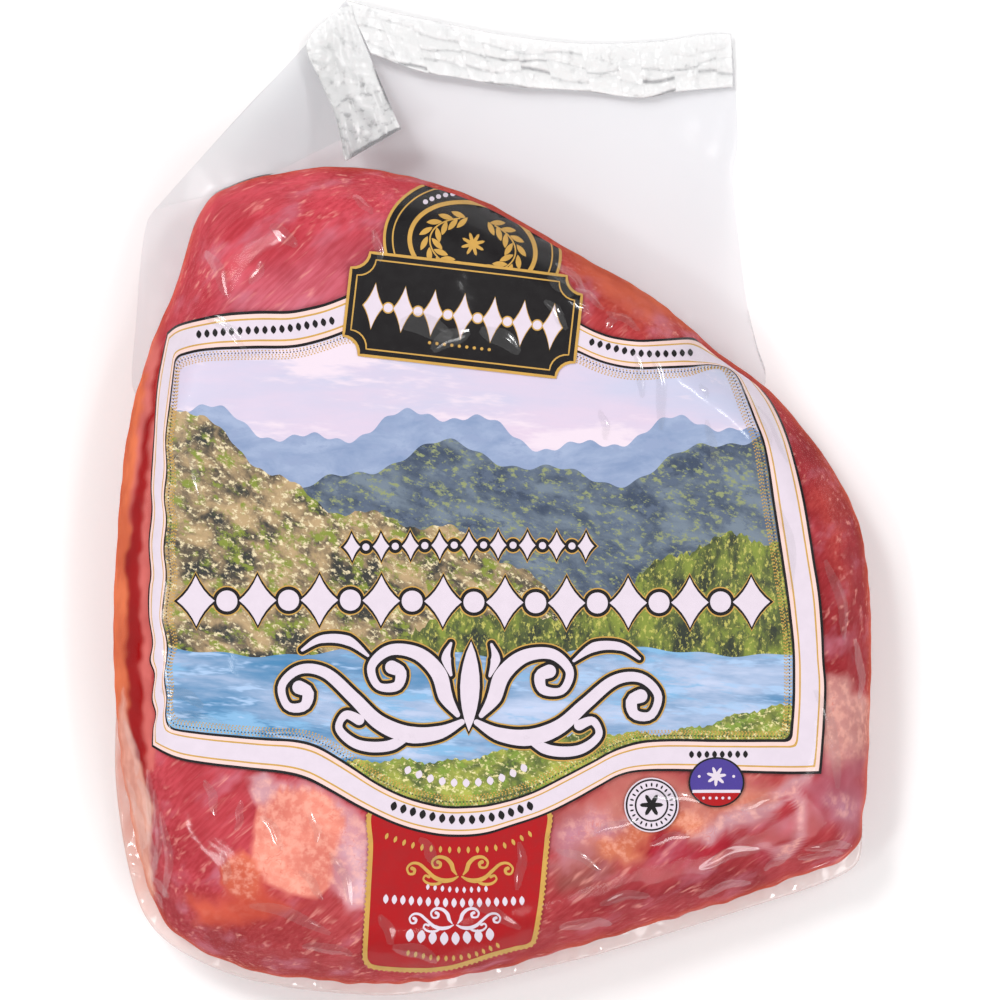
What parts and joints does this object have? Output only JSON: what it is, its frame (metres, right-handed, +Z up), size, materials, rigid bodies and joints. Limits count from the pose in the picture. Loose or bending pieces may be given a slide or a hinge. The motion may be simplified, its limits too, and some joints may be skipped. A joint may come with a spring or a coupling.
{
  "type": "raw beef brisket in a sealed clear bag",
  "caption": "Raw beef brisket sealed tight in a clear printed film bag, lying flat, with an empty neck of film and a heat seal at one end.",
  "frame": {"origin": "on the surface it rests on, under the middle of the whole bag", "axes": "+Z up out of the printed side, +Y along the bag towards the heat seal, +X to the right of the print"},
  "size_m": [0.2051, 0.2697, 0.0495],
  "materials": {
    "film": "clear glossy vacuum film",
    "meat": "wet raw beef, stands for food",
    "print": "ink printed on the film"
  },
  "bodies": {
    "root": {"brisket_bag": "film"}
  },
  "joints": []
}
